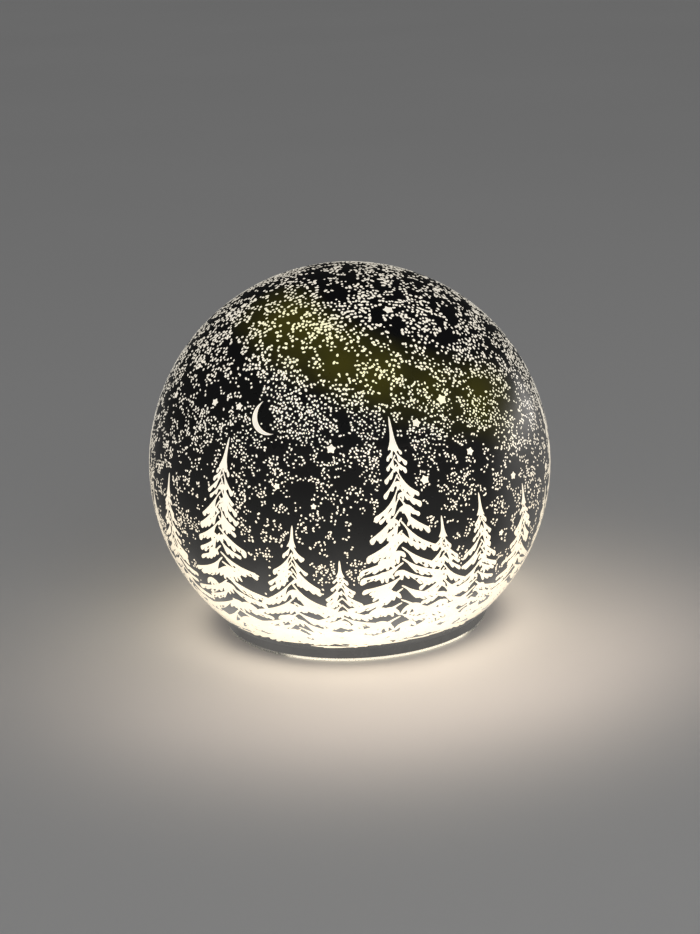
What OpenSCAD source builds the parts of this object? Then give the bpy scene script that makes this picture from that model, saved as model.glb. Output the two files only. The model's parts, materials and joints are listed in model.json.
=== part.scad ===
// Battery-lit glass snow globe: a blown glass ball with a dark outer coat and a
// frosted lining, closed from below by a plastic base that holds the lamp, the
// cells and the timer switch. The origin is on the table under the ball's centre.

/* [Glass ball] */
// Outside diameter of the coated ball
ball_d = 150; // [148:1:156]
// Outside diameter of the coated neck that the ball stands on
neck_d = 99.5; // [99:0.5:104]
// Height of the ball's centre above the table
ball_z = 60.5; // [59:0.5:61]
// Wall thickness of the blown glass
glass_t = 2.4; // [2:0.1:2.8]
// Thickness of the dark outer coat
coat_t = 0.25; // [0.22:0.01:0.3]
// Thickness of the frosted inner lining
lining_t = 0.25; // [0.22:0.01:0.3]
// Height of the bare ring of glass left under the coat
bare_rim = 1.0; // [0.5:0.1:1.5]
// Radius of the fillet where the ball meets the neck
neck_fillet = 1.2; // [0.8:0.1:2]

/* [Base] */
// Thickness of the base floor
floor_t = 2; // [1.8:0.1:2.2]
// Thickness of the base's round wall
base_wall = 1.8; // [1.4:0.1:2]
// Height of the base above its own underside
base_h = 16.8; // [16.8:0.1:18]
// Thickness of the silicone seal between the base and the glass
seal_t = 0.8; // [0.6:0.1:1]
// Diameter of each silicone foot
foot_d = 7; // [6:0.5:7.5]

/* [Battery bay] */
// Diameter of one cell
cell_d = 10.2; // [10:0.1:10.4]
// Length of one cell with its positive nub
cell_l = 44.5; // [44:0.1:44.6]
// Distance between neighbouring cells' axes
cell_pitch = 11.2; // [11:0.1:11.4]
// Length of a contact spring when a cell is in place
spring_l = 5.5; // [5:0.1:5.7]
// Clearance all round the battery door
door_gap = 0.3; // [0.3:0.05:0.4]

/* [Switch] */
// Travel of the switch knob through its three places
switch_travel = 4; // [3:0.5:4]

/* [Lamp] */
// Number of light-emitting diodes on the board
led_count = 6; // [3:1:6]
// Outside radius of the frosted light dome
dome_r = 26; // [25:0.5:28]

/* [Hidden] */

$fn = 96;
eps = 0.01;
// A length that is sure to pass through any one wall
through = 40;

// Ball and neck
ball_r = ball_d / 2;
neck_r = neck_d / 2;
rim_z = 0.4;
coat_z = rim_z + bare_rim;
lining_r = ball_r - coat_t - glass_t;
neck_in_r = neck_r - coat_t - glass_t;
lining_z = 7;
// How far the neck's fillet reaches into the ball, so that the two arcs cross and leave no sliver
fillet_bite = 0.02;

// Base housing
base_z = 1.2;
base_r = neck_in_r - seal_t;
base_in_r = base_r - base_wall;
floor_z = base_z + floor_t;
base_top = base_z + base_h;
foot_circle_r = 42;
boss_circle_r = 40;
boss_r = 3;
boss_angles = [90, 210, 330];
pilot_r = 1.1;

// Battery bay: three cells side by side, their axes along Y
bay_x = -8;
bay_wall = 1.2;
plate_t = 0.5;
bay_w = 3 * cell_pitch + 1;
bay_l = cell_l + spring_l + 2 * plate_t;
bay_roof = 14.6;
ledge = 1;
ledge_z = base_z + 1.8;
cell_r = cell_d / 2;
cell_z = 3.9 + cell_r;
nub_r = 1.9;
nub_l = 0.9;
cell_bevel = 0.4;
contact_w = 8;
contact_z0 = 5.8;
contact_z1 = 13.2;
tab_w = 2.4;
tab_l = 4;
tab_z = 12.2;
spring_base_r = 3.2;
spring_tip_r = 2.2;
spring_wire_r = 0.35;
spring_turns = 4;
spring_sides = 8;
spring_steps = 14;

// Battery door, which swings about the rounded edge of its -Y end
door_t = 1.5;
door_edge_r = door_t / 2;
door_w = bay_w + 2 * ledge - 2 * door_gap;
door_l = bay_l + 2 * ledge - 2 * door_gap;
door_z1 = base_z + door_t;
hook_w = 4;
hook_reach = 1.6;
hook_z = floor_z + 0.3;
hook_top = 4.4;
latch_w = 8;
latch_l = 11;
latch_slot = 0.7;
barb_h = 1;
grip_grooves = 4;
groove_w = 0.8;
groove_depth = 0.4;
pad_t = 0.9;
pad_w = 30;
pad_l = 38;

// Slide switch
switch_x = 28;
switch_w = 7;
switch_l = 18;
frame_t = 0.5;
frame_top = floor_z + 5;
switch_top = frame_top + 1;
knob_w = 3.6;
knob_l = 4;
knob_z = base_z + 0.2;
slot_gap = 0.3;
carriage_w = 5;
carriage_l = 7.8;
carriage_z0 = 4;
carriage_z1 = 6.4;
dish_w = 9;
dish_l = 8;
dish_depth = 0.8;
pin_ys = [-6, -2, 2, 6];
pin_top = switch_top + 3.5;

// Top cover, board and lamp
cover_t = 2;
cover_z1 = base_top + cover_t;
lip_gap = 0.3;
lip_t = 1.4;
lip_h = 1.5;
standoff_h = 2;
board_z = cover_z1 + standoff_h;
board_t = 1.6;
board_top = board_z + board_t;
board_r = 20;
board_screw_r = 16.5;
board_screw_angles = [30, 150, 270];
lead_hole_x = 14;
lead_hole_r = 2.5;
led_circle_r = 11.5;
led_r = 2.5;
led_flange_r = 2.9;
led_body_l = 5.6;
dome_wall = 1.2;
dome_flange = 3;
dome_flange_t = 1.5;
clip_angles = [0, 120, 240];

// Leads: one insulated wire each, held inside the base all the way
lead_r = 0.7;
lead_sides = 8;
lead_steps = 5;
plus_x = bay_x - cell_pitch;
minus_x = bay_x + cell_pitch;
tab_end = bay_l / 2 + tab_l;
tab_mid_z = tab_z + plate_t / 2;
// The first and the last stretch of each lead are straight
lead_battery_points = [
    [plus_x, tab_end, tab_mid_z], [plus_x, tab_end + 1.5, tab_mid_z], [-14, 33, 13.4],
    [4, 31.5, 14], [16, 25, 14.6], [24, 15, 15.6], [27.5, 8.5, 15.6],
    [switch_x, pin_ys[3], pin_top + 1.2], [switch_x, pin_ys[3], pin_top]
];
lead_switched_points = [
    [switch_x, pin_ys[2], pin_top], [switch_x, pin_ys[2], pin_top + 1.2], [26, 2, 15.4],
    [18, 1.4, 16], [lead_hole_x, 1.2, 18.5], [lead_hole_x, 1.2, board_z]
];
lead_return_points = [
    [minus_x, -tab_end, tab_mid_z], [minus_x, -tab_end - 1.5, tab_mid_z], [8, -32.5, 13.4],
    [14, -24, 14], [16, -10, 14.6], [15, -3, 15.8],
    [lead_hole_x, -1.2, 18.5], [lead_hole_x, -1.2, board_z]
];

// ---- Helpers ----

// Half outline of a ball that runs through a fillet into a straight neck. The polygon fills
// the corner, and its inner end lies well inside the ball.
module ball_outline(r, neck, fillet, z0) {
    fillet_x = neck + fillet;
    fillet_z = ball_z - sqrt(pow(r + fillet - fillet_bite, 2) - pow(fillet_x, 2));
    inner_share = (r - fillet) / (r + fillet);
    inner_x = fillet_x * inner_share;
    inner_z = ball_z + (fillet_z - ball_z) * inner_share;
    intersection() {
        translate([0, z0]) square([ball_d, ball_d]);
        union() {
            difference() {
                translate([0, ball_z]) circle(r, $fn = 180);
                translate([neck - 2 * fillet, 0]) square([ball_d, fillet_z]);
            }
            translate([0, z0]) square([neck, fillet_z + fillet - z0]);
            difference() {
                polygon([
                    [neck - fillet, fillet_z], [fillet_x, fillet_z],
                    [inner_x, inner_z], [neck - fillet, inner_z]
                ]);
                translate([fillet_x, fillet_z]) circle(fillet, $fn = 48);
            }
        }
    }
}

// One child on each angle of a list, at a radius from the centre
module around(angles, r) {
    for (a = angles) {
        rotate([0, 0, a]) translate([r, 0, 0]) children();
    }
}

// A box given by its centre in plan, its two plan sizes and its two heights
module slab(x, y, w, l, z0, z1) {
    translate([x - w / 2, y - l / 2, z0]) cube([w, l, z1 - z0]);
}

function unit(v) = v / norm(v);

// A point on the smooth curve through the points of a list, at s from point i
function curve_point(points, i, s) =
    let (
        last = len(points) - 1,
        p0 = points[max(i - 1, 0)],
        p1 = points[i],
        p2 = points[min(i + 1, last)],
        p3 = points[min(i + 2, last)]
    )
    0.5 * (2 * p1 + (p2 - p0) * s + (2 * p0 - 5 * p1 + 4 * p2 - p3) * s * s
        + (3 * p1 - p0 - 3 * p2 + p3) * s * s * s);

function curve(points, steps) = [
    for (i = [0 : len(points) - 2]) for (k = [0 : steps - 1])
        curve_point(points, i, k / steps),
    points[len(points) - 1]
];

// A wire's path: straight at both ends and curved between them
function wire_path(points) =
    let (
        last = len(points) - 1,
        inner = [for (i = [1 : last - 1]) points[i]]
    )
    concat([points[0]], curve(inner, lead_steps), [points[last]]);

// Direction of a path at one of its points
function heading(path, i) =
    unit(path[min(i + 1, len(path) - 1)] - path[max(i - 1, 0)]);

// A round tube along a path; side is a direction that the path never takes
module tube(path, r, sides, side) {
    rings = len(path);
    points = [
        for (i = [0 : rings - 1])
            let (
                t = heading(path, i),
                n = unit(cross(t, side)),
                b = cross(t, n)
            )
            for (k = [0 : sides - 1])
                path[i] + r * (cos(360 * k / sides) * n + sin(360 * k / sides) * b)
    ];
    walls = [
        for (i = [0 : rings - 2]) for (k = [0 : sides - 1])
            [
                i * sides + k, (i + 1) * sides + k,
                (i + 1) * sides + (k + 1) % sides, i * sides + (k + 1) % sides
            ]
    ];
    start_cap = [for (k = [0 : sides - 1]) k];
    end_cap = [for (k = [sides - 1 : -1 : 0]) (rings - 1) * sides + k];
    polyhedron(points, concat(walls, [start_cap, end_cap]), convexity = 8);
}

// ---- Glass ----

module glass_globe() {
    color("lightcyan", 0.5) rotate_extrude($fn = 180) difference() {
        ball_outline(ball_r - coat_t, neck_r - coat_t, neck_fillet + coat_t, rim_z);
        intersection() {
            translate([0, ball_z]) circle(lining_r, $fn = 180);
            square([ball_d, ball_d + ball_z]);
        }
        translate([0, -eps]) square([neck_in_r, lining_z]);
    }
}

// Dark coat all over the ball and down the neck to the bare rim
module night_lacquer() {
    color([0.06, 0.06, 0.07]) rotate_extrude($fn = 180) difference() {
        ball_outline(ball_r, neck_r, neck_fillet, coat_z);
        ball_outline(ball_r - coat_t, neck_r - coat_t, neck_fillet + coat_t, 0);
    }
}

// White frosting inside the ball, which stops above the neck
module frost_lining() {
    color("ivory") rotate_extrude($fn = 180) intersection() {
        difference() {
            translate([0, ball_z]) circle(lining_r, $fn = 180);
            translate([0, ball_z]) circle(lining_r - lining_t, $fn = 180);
        }
        translate([0, lining_z]) square([ball_d, ball_d]);
    }
}

module neck_seal() {
    color("whitesmoke") rotate_extrude() translate([base_r, base_z + 0.4])
        square([neck_in_r - base_r, 3]);
}

// ---- Base ----

// Floor, round wall, battery bay, screw bosses and switch ribs
module base_solid() {
    difference() {
        translate([0, 0, base_z]) cylinder(h = base_h, r = base_r);
        translate([0, 0, floor_z]) cylinder(h = base_h, r = base_in_r);
    }
    slab(bay_x, 0, bay_w + 2 * bay_wall, bay_l + 2 * bay_wall, base_z, bay_roof + bay_wall);
    around(boss_angles, boss_circle_r)
        translate([0, 0, floor_z - eps]) cylinder(h = base_top - floor_z, r = boss_r);
    for (side = [-1, 1]) {
        slab(switch_x, side * (switch_l / 2 + 1.2), switch_w, 1.6, floor_z - eps, frame_top);
    }
}

module base_housing() {
    color([0.12, 0.12, 0.13]) difference() {
        base_solid();
        slab(bay_x, 0, bay_w, bay_l, 0, bay_roof);
        slab(bay_x, 0, bay_w + 2 * ledge, bay_l + 2 * ledge, 0, ledge_z);
        // Room for the door's hooks, its latch barb and a fingertip
        for (side = [-1, 1]) {
            slab(bay_x + side * cell_pitch / 2, -bay_l / 2 - 1, hook_w + 0.8, 4, ledge_z - eps, 6);
        }
        slab(bay_x, bay_l / 2, latch_w + 0.8, 2.8, ledge_z - eps, ledge_z + 1.4);
        translate([bay_x, bay_l / 2 + ledge, 0]) cylinder(h = base_z + 1, r = 7);
        // Slots for the two solder tabs
        slab(plus_x, bay_l / 2, tab_w + 0.6, 3, tab_z - 0.3, tab_z + 0.8);
        slab(minus_x, -bay_l / 2, tab_w + 0.6, 3, tab_z - 0.3, tab_z + 0.8);
        // Dish and slot for the switch knob
        slab(switch_x, 0, dish_w, dish_l, 0, base_z + dish_depth);
        for (side = [-1, 1]) {
            translate([switch_x, side * dish_l / 2, 0])
                cylinder(h = base_z + dish_depth, d = dish_w);
        }
        knob_slot(0, floor_z + eps);
        around(boss_angles, boss_circle_r)
            translate([0, 0, 8]) cylinder(h = through, r = pilot_r);
    }
}

module top_cover() {
    color("white") difference() {
        union() {
            translate([0, 0, base_top]) cylinder(h = cover_t, r = base_r);
            difference() {
                translate([0, 0, base_top - lip_h])
                    cylinder(h = lip_h + eps, r = base_in_r - lip_gap);
                translate([0, 0, base_top - lip_h - eps])
                    cylinder(h = lip_h + 2 * eps, r = base_in_r - lip_gap - lip_t);
                around(boss_angles, boss_circle_r)
                    translate([0, 0, base_top - lip_h - eps])
                        cylinder(h = lip_h + eps, r = boss_r + 0.5);
            }
            around(board_screw_angles, board_screw_r)
                translate([0, 0, cover_z1 - eps]) cylinder(h = standoff_h + eps, r = 3);
            around(clip_angles, dome_r + dome_flange) dome_clip();
        }
        around(boss_angles, boss_circle_r) cylinder(h = through, r = pilot_r + 0.2);
        around(board_screw_angles, board_screw_r)
            translate([0, 0, base_top + 0.5]) cylinder(h = through, r = 0.9);
        translate([lead_hole_x, 0, 0]) cylinder(h = through, r = lead_hole_r);
    }
}

// Small hooked lug that holds the dome's flange down
module dome_clip() {
    slab(1.2, 0, 1.8, 6, cover_z1 - eps, cover_z1 + 3);
    slab(0.3, 0, 3.6, 6, cover_z1 + dome_flange_t + 0.2, cover_z1 + 3);
}

module pan_screw(shank_r, shank_l, head_r, head_h) {
    difference() {
        union() {
            cylinder(h = head_h, r = head_r, $fn = 48);
            translate([0, 0, -shank_l]) cylinder(h = shank_l + eps, r = shank_r, $fn = 48);
        }
        for (turn = [0, 90]) {
            rotate([0, 0, turn]) slab(0, 0, head_r * 1.2, 0.5, head_h / 2, head_h + eps);
        }
    }
}

module cover_screws() {
    color("silver") around(boss_angles, boss_circle_r)
        translate([0, 0, cover_z1]) pan_screw(1.05, 10, 2.4, 1.6);
}

module feet() {
    color("gainsboro") around([45, 135, 225, 315], foot_circle_r)
        cylinder(h = base_z, d = foot_d);
}

// ---- Lamp ----

module light_diffuser() {
    color("floralwhite", 0.8) rotate_extrude() union() {
        intersection() {
            translate([0, cover_z1]) difference() {
                circle(dome_r);
                circle(dome_r - dome_wall);
            }
            translate([0, cover_z1]) square([dome_r, dome_r]);
        }
        translate([dome_r - dome_wall, cover_z1])
            square([dome_wall + dome_flange, dome_flange_t]);
    }
}

module led_board() {
    color("seagreen") difference() {
        translate([0, 0, board_z]) cylinder(h = board_t, r = board_r);
        around(board_screw_angles, board_screw_r) cylinder(h = through, r = 1.1);
    }
}

module board_screws() {
    color("silver") around(board_screw_angles, board_screw_r)
        translate([0, 0, board_top]) pan_screw(0.85, 4, 1.9, 1.2);
}

// Round-topped lamps with a flange, standing in a ring on the board
module leds() {
    color("lightyellow") around([for (i = [0 : led_count - 1]) 360 * i / led_count], led_circle_r)
        translate([0, 0, board_top]) {
            cylinder(h = 1, r = led_flange_r);
            cylinder(h = led_body_l, r = led_r);
            translate([0, 0, led_body_l]) difference() {
                sphere(led_r, $fn = 48);
                translate([0, 0, -through]) cylinder(h = through, r = through);
            }
        }
}

module timer_chip() {
    color([0.1, 0.1, 0.1]) slab(0, 0, 5, 3.9, board_top + 0.15, board_top + 1.6);
    color("silver") for (side = [-1, 1]) for (i = [-1.5 : 1 : 1.5]) {
        slab(1.27 * i, side * 2.45, 0.4, 1.1, board_top, board_top + 0.5);
    }
}

module timer_crystal() {
    color("silver") translate([-3, 5.2, board_top + 1]) rotate([0, 90, 0])
        cylinder(h = 6, r = 1, $fn = 48);
}

module board_capacitor() {
    color("midnightblue") translate([0, -5.6, board_top]) difference() {
        cylinder(h = 5, r = 2, $fn = 48);
        translate([0, 0, 4.8]) for (turn = [45, 135]) {
            rotate([0, 0, turn]) slab(0, 0, 3, 0.3, 0, 1);
        }
    }
}

module board_resistors() {
    color("dimgray") for (y = [-3.6, 0, 3.6]) {
        slab(-6.2, y, 1.6, 2.6, board_top, board_top + 0.6);
    }
}

// ---- Switch ----

// The slot that the knob travels in
module knob_slot(z0, z1) {
    slab(switch_x, 0, knob_w + 2 * slot_gap, knob_l + switch_travel + 2 * slot_gap, z0, z1);
}

module switch_frame() {
    color("silver") difference() {
        slab(switch_x, 0, switch_w, switch_l, floor_z, frame_top);
        slab(switch_x, 0, switch_w - 2 * frame_t, switch_l - 2 * frame_t,
            floor_z + frame_t, frame_top + eps);
        knob_slot(floor_z - eps, floor_z + frame_t + eps);
    }
}

module switch_base() {
    color("saddlebrown") {
        slab(switch_x, 0, switch_w, switch_l, frame_top, switch_top);
        slab(switch_x, 0, switch_w - 2 * frame_t, switch_l - 2 * frame_t,
            frame_top - 1.4, frame_top + eps);
    }
}

module switch_terminals() {
    color("silver") for (y = pin_ys) {
        slab(switch_x, y, 0.6, 1, switch_top, pin_top);
    }
}

// Knob and carriage, at the end of the travel where the lamp is on
module switch_slider() {
    rest_y = -switch_travel / 2;
    color([0.15, 0.15, 0.16]) difference() {
        union() {
            slab(switch_x, rest_y, knob_w, knob_l, knob_z, carriage_z0 + eps);
            slab(switch_x, rest_y, carriage_w, carriage_l, carriage_z0, carriage_z1);
        }
        for (i = [-1 : 1]) {
            slab(switch_x, rest_y + 1.2 * i, knob_w + eps, 0.5, 0, knob_z + 0.4);
        }
    }
}

// ---- Cells and contacts ----

// One cell; way is 1 with its nub towards +Y, and -1 towards -Y
module cell(x, way) {
    body_l = cell_l - nub_l;
    color(way > 0 ? "goldenrod" : "darkgoldenrod")
        translate([x, way * (bay_l / 2 - plate_t), cell_z]) rotate([way * 90, 0, 0])
            rotate_extrude($fn = 64) polygon([
                [0, 0], [nub_r, 0], [nub_r, nub_l], [cell_r - cell_bevel, nub_l],
                [cell_r, nub_l + cell_bevel], [cell_r, nub_l + body_l - cell_bevel],
                [cell_r - cell_bevel, cell_l], [0, cell_l]
            ]);
}

module battery_1() {
    cell(bay_x - cell_pitch, 1);
}

module battery_2() {
    cell(bay_x, -1);
}

module battery_3() {
    cell(bay_x + cell_pitch, 1);
}

// Sprung negative contact, a wire cone that starts on its plate
module contact_spring(x, way) {
    steps = spring_turns * spring_steps;
    reach = spring_l - 2 * spring_wire_r;
    wire = [
        for (i = [0 : steps])
            let (
                share = i / steps,
                a = 360 * i / spring_steps,
                r = spring_base_r + (spring_tip_r - spring_base_r) * share
            )
            [
                x + r * cos(a),
                way * (bay_l / 2 - plate_t - spring_wire_r - reach * share),
                cell_z + r * sin(a)
            ]
    ];
    tube(wire, spring_wire_r, spring_sides, [0, 1, 0]);
}

module contact_springs() {
    color("silver") {
        contact_spring(bay_x - cell_pitch, -1);
        contact_spring(bay_x, 1);
        contact_spring(bay_x + cell_pitch, -1);
    }
}

// Upright plate against one end wall of the bay
module contact_plate(x, w, way) {
    slab(x, way * (bay_l / 2 - plate_t / 2), w, plate_t, contact_z0, contact_z1);
}

// First and last contact, each with a solder tab through the bay's wall
module end_contacts() {
    color("silver") for (end = [[plus_x, 1], [minus_x, -1]]) {
        contact_plate(end[0], contact_w, end[1]);
        slab(end[0], end[1] * (bay_l / 2 + tab_l / 2 - plate_t / 2), tab_w, tab_l + plate_t,
            tab_z, tab_z + plate_t);
    }
}

// Plates that join one cell to the next
module link_contacts() {
    color("silver") for (way = [-1, 1]) {
        contact_plate(bay_x + way * cell_pitch / 2, cell_pitch + contact_w, way);
    }
}

// ---- Leads ----

module lead_battery() {
    color("red") tube(wire_path(lead_battery_points), lead_r, lead_sides, [1, 1, -1]);
}

module lead_switched() {
    color("firebrick") tube(wire_path(lead_switched_points), lead_r, lead_sides, [0, 1, 0]);
}

module lead_return() {
    color([0.05, 0.05, 0.05])
        tube(wire_path(lead_return_points), lead_r, lead_sides, [1, -1, -1]);
}

// ---- Door ----

module battery_door() {
    edge = door_l / 2;
    color([0.14, 0.14, 0.15]) difference() {
        union() {
            slab(bay_x, door_edge_r / 2, door_w, door_l - door_edge_r, base_z, door_z1);
            translate([bay_x - door_w / 2, door_edge_r - edge, base_z + door_edge_r])
                rotate([0, 90, 0]) cylinder(h = door_w, r = door_edge_r, $fn = 48);
            for (side = [-1, 1]) {
                x = bay_x + side * cell_pitch / 2;
                slab(x, 1 - edge, hook_w, 2, door_z1 - eps, hook_top);
                slab(x, 1 - edge - hook_reach / 2, hook_w, 2 + hook_reach, hook_z, hook_top);
            }
            slab(bay_x, edge - 0.6, latch_w, 1.2, door_z1 - eps, door_z1 + barb_h);
        }
        // Slots that free the latch tongue, and grooves for a fingertip
        for (side = [-1, 1]) {
            slab(bay_x + side * (latch_w + latch_slot) / 2, edge - latch_l / 2 + eps,
                latch_slot, latch_l, 0, door_z1 + eps);
        }
        for (i = [1 : grip_grooves]) {
            slab(bay_x, edge - 2 * i, latch_w - 1.6, groove_w, 0, base_z + groove_depth);
        }
    }
}

// Foam that keeps the cells from rattling
module door_pad() {
    color("dimgray") slab(bay_x, -2, pad_w, pad_l, door_z1, door_z1 + pad_t);
}

glass_globe();
night_lacquer();
frost_lining();
neck_seal();
base_housing();
top_cover();
cover_screws();
feet();
light_diffuser();
led_board();
board_screws();
leds();
timer_chip();
timer_crystal();
board_capacitor();
board_resistors();
switch_frame();
switch_base();
switch_terminals();
switch_slider();
battery_1();
battery_2();
battery_3();
contact_springs();
end_contacts();
link_contacts();
lead_battery();
lead_switched();
lead_return();
battery_door();
door_pad();
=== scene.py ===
"""Snow globe: a lit glass ball whose dark coat is etched with a winter forest.

Everything is in metres in the CAD frame. Sizes named _MM are millimetres and
angles named _DEG are degrees. A place on the ball is a longitude, 0 at the
front and growing to the viewer's right, and a latitude, 0 at the equator.
"""
import json
import math
import random

import bmesh
import bpy
from mathutils import Matrix, Vector, noise
from mathutils.geometry import delaunay_2d_cdt


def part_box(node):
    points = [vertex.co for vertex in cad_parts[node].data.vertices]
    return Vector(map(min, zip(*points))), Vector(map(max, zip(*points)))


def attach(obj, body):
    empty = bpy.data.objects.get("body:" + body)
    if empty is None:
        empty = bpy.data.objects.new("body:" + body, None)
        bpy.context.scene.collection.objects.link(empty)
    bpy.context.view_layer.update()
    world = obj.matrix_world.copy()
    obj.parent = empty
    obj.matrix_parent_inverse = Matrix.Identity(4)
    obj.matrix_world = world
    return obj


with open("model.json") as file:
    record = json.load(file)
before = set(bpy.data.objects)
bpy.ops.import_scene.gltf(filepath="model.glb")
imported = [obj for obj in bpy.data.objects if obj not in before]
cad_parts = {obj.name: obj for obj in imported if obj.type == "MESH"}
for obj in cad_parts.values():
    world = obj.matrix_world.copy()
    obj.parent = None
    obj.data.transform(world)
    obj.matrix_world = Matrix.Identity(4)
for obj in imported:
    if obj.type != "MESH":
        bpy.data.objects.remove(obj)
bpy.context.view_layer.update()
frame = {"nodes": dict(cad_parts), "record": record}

MM = 0.001
SCENE = bpy.context.scene
COAT_LOW, COAT_HIGH = (Vector(corner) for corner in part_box("night_lacquer"))
BALL_R = (COAT_HIGH.x - COAT_LOW.x) / 2
BALL_C = Vector((0.0, 0.0, COAT_HIGH.z - BALL_R))

# ---------------------------------------------------------------- camera

CAMERA_DISTANCE = 10 * BALL_R
CAMERA_ELEVATION_DEG = 16.5
CAMERA_ROLL_DEG = -2.6
CAMERA_LENS_MM = 76.9
# The camera looks at a point a little under the ball's centre
AIM_DROP_MM = 2.0


def make_camera():
    """A camera in front of the ball and above it, rolled a little as in the photo."""
    elevation = math.radians(CAMERA_ELEVATION_DEG)
    away = Vector((0, -math.cos(elevation), math.sin(elevation)))
    place = BALL_C + away * CAMERA_DISTANCE
    target = BALL_C - Vector((0, 0, AIM_DROP_MM * MM))
    turn = (target - place).to_track_quat("-Z", "Y").to_matrix().to_4x4()
    roll = Matrix.Rotation(math.radians(CAMERA_ROLL_DEG), 4, "Z")
    camera = bpy.data.objects.new("camera", bpy.data.cameras.new("camera"))
    camera.data.lens = CAMERA_LENS_MM
    camera.data.clip_end = 60
    camera.matrix_world = Matrix.Translation(place) @ turn @ roll
    SCENE.collection.objects.link(camera)
    SCENE.camera = camera


make_camera()

# ---------------------------------------------------------------- node helpers


class Shader:
    """A material's node tree with short calls for the nodes used here."""

    def __init__(self, name):
        self.material = bpy.data.materials.new(name)
        self.material.use_nodes = True
        self.tree = self.material.node_tree
        self.surface = self.tree.nodes["Principled BSDF"]

    def node(self, kind, **inputs):
        made = self.tree.nodes.new(kind)
        for name, value in inputs.items():
            self.feed(made.inputs[name.replace("_", " ")], value)
        return made

    def feed(self, socket, value):
        if isinstance(value, bpy.types.NodeSocket):
            self.tree.links.new(value, socket)
        else:
            socket.default_value = value

    def set(self, **inputs):
        for name, value in inputs.items():
            self.feed(self.surface.inputs[name.replace("_", " ")], value)
        return self

    def place(self):
        return self.tree.nodes.new("ShaderNodeTexCoord").outputs["Object"]

    def noise(self, scale, detail=3.0, roughness=0.55, where=None):
        made = self.node("ShaderNodeTexNoise", Scale=scale, Detail=detail, Roughness=roughness)
        self.feed(made.inputs["Vector"], where or self.place())
        return made.outputs["Fac"]

    def math(self, operation, first, second=0.0, clamp=False):
        made = self.tree.nodes.new("ShaderNodeMath")
        made.operation = operation
        made.use_clamp = clamp
        self.feed(made.inputs[0], first)
        self.feed(made.inputs[1], second)
        return made.outputs[0]

    def vector_math(self, operation, first, second):
        made = self.tree.nodes.new("ShaderNodeVectorMath")
        made.operation = operation
        self.feed(made.inputs[0], first)
        self.feed(made.inputs[1], second)
        return made

    def ramp(self, value, from_low, from_high, to_low, to_high, smooth=False):
        made = self.tree.nodes.new("ShaderNodeMapRange")
        made.interpolation_type = "SMOOTHSTEP" if smooth else "LINEAR"
        limits = (value, from_low, from_high, to_low, to_high)
        for socket, limit in zip(made.inputs[:5], limits):
            self.feed(socket, limit)
        return made.outputs[0]

    def mix(self, share, first, second, blend="MIX"):
        made = self.tree.nodes.new("ShaderNodeMix")
        made.data_type = "RGBA"
        made.blend_type = blend
        self.feed(made.inputs["Factor"], share)
        for socket, colour in zip(made.inputs[6:8], (first, second)):
            self.feed(socket, colour)
        return made.outputs[2]

    def bump(self, height, distance_mm, strength=1.0):
        made = self.node("ShaderNodeBump", Strength=strength, Distance=distance_mm * MM)
        self.feed(made.inputs["Height"], height)
        self.feed(self.surface.inputs["Normal"], made.outputs["Normal"])


def rgb(red, green, blue):
    """An opaque colour for a shader socket."""
    return (red, green, blue, 1.0)


def direction(lon_deg, lat_deg):
    """Unit vector from the ball's centre to a place on it."""
    lon = math.radians(lon_deg)
    lat = math.radians(lat_deg)
    return Vector((math.cos(lat) * math.sin(lon), -math.cos(lat) * math.cos(lon), math.sin(lat)))


# ---------------------------------------------------------------- materials

# The aurora is a band of soft patches that sinks as it runs from left to right
AURORA_PATCHES = 7
AURORA_LEFT_DEG = -40
AURORA_RIGHT_DEG = 50
AURORA_TOP_DEG = 60
AURORA_FALL_DEG = 35
AURORA_REACH_DEG = 15
LOW_GLOW = rgb(1.32, 1.19, 0.95)
HIGH_GLOW = rgb(0.93, 0.90, 0.82)
AURORA_GLOW = rgb(1.05, 1.05, 0.66)
# Painted glow on the coat, standing in for the lit table's reflection and the halo round
# the etched shapes: its most, low on the ball, how steeply it fades upwards, and the share
# of it that is left on the neck. Heights are -1 to 1 on the ball.
PAINTED_GLOW_MOST = 0.46
PAINTED_GLOW_CURVE = 7.0
PAINTED_GLOW_HEIGHTS = (0.85, -0.72)
NECK_PAINTED_GLOW_SHARE = 0.18
NECK_HEIGHTS = (-0.66, -0.705)
# Heights between which the etched light changes from its low to its high colour
GLOW_HEIGHTS = (-0.25, 0.3)
# Painted reflection of the bright table, a soft sheen on the right of the coat: its
# longitude and latitude, how far it reaches, and how bright it is
PAINTED_REFLECTION_AT = (64, 4)
PAINTED_REFLECTION_REACH_DEG = 26
PAINTED_REFLECTION_GLOW = 0.055
# Painted glow on the bare rim, only on an arc towards the front: the middle of the arc
# and half its length
RIM_GLOW_LON_DEG = 12
RIM_GLOW_REACH_DEG = 48
RIM_GLOW = 0.42


def from_centre(shader):
    """Unit direction from the ball's centre, so that patterns follow the ball."""
    offset = shader.vector_math("SUBTRACT", shader.place(), tuple(BALL_C)).outputs[0]
    return shader.vector_math("NORMALIZE", offset, (0, 0, 0)).outputs[0]


def aurora_mask(shader, way):
    """1 in the middle of the aurora and 0 well outside it, with uneven edges."""
    total = 0.0
    edge = math.cos(math.radians(AURORA_REACH_DEG))
    for i in range(AURORA_PATCHES):
        share = i / (AURORA_PATCHES - 1)
        lon = AURORA_LEFT_DEG + (AURORA_RIGHT_DEG - AURORA_LEFT_DEG) * share
        lat = AURORA_TOP_DEG - AURORA_FALL_DEG * share
        near = shader.vector_math("DOT_PRODUCT", way, tuple(direction(lon, lat))).outputs["Value"]
        patch = shader.ramp(near, edge, 1.0, 0.0, 1.0, smooth=True)
        total = shader.math("ADD", patch, total)
    wisps = shader.noise(2.6, detail=2.0, where=way)
    return shader.math("MULTIPLY", total, shader.ramp(wisps, 0.3, 0.7, 0.30, 0.62), clamp=True)


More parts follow.
